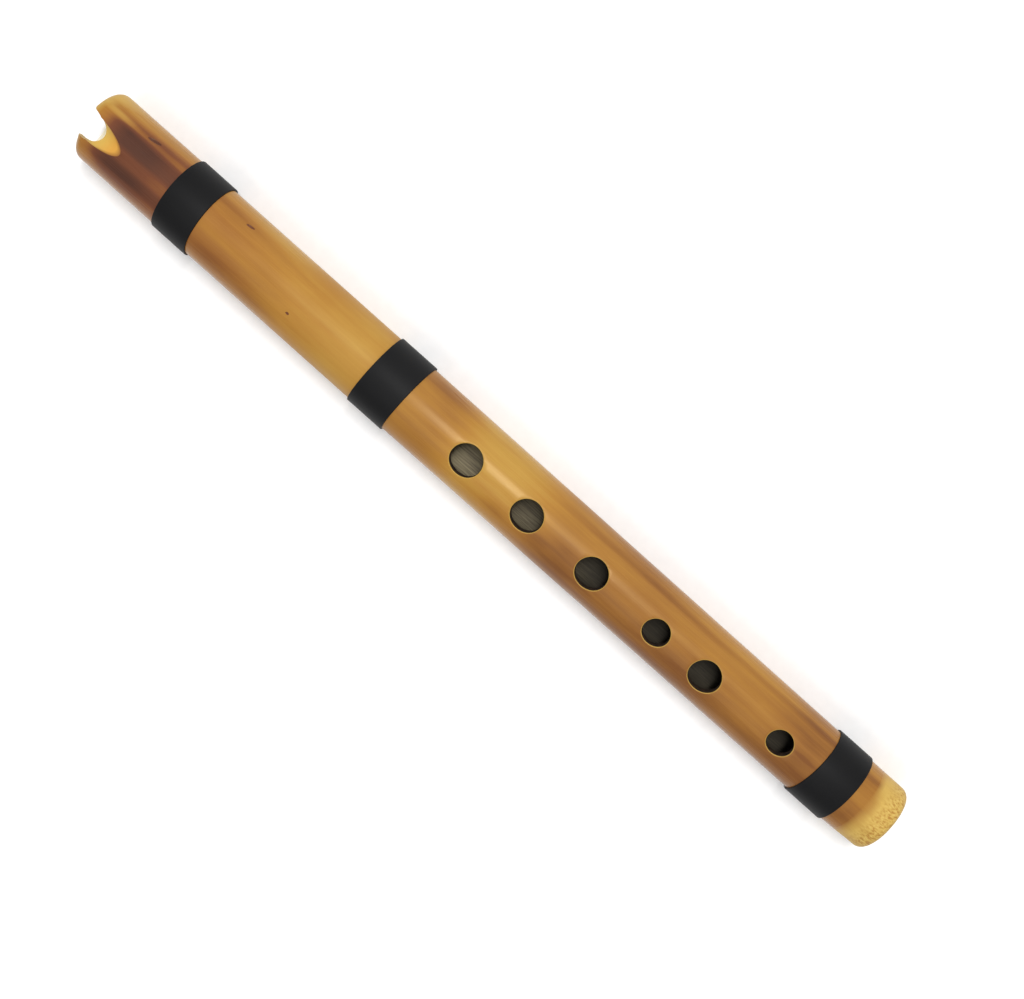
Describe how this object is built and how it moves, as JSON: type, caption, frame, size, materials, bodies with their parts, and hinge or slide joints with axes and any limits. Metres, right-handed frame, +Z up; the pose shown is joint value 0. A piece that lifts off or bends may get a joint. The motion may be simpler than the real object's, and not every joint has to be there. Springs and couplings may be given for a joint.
{
  "type": "quena",
  "caption": "End-blown notched cane flute with a bevelled mouth notch, finger holes, a thumb hole and black binding bands.",
  "frame": {"origin": "midway along the flute, under its axis, on the surface that the bands rest on", "axes": "+X along the flute from the notched head end to the foot, +Z up through the notch and finger holes, +Y across"},
  "size_m": [0.38, 0.03, 0.0299],
  "materials": {
    "cane": "clear varnish, satin, with scorched brown patches",
    "binding": "matte black"
  },
  "bodies": {
    "root": {"cane_tube": "cane", "head_band": "binding", "middle_band": "binding", "foot_band": "binding"}
  },
  "joints": []
}
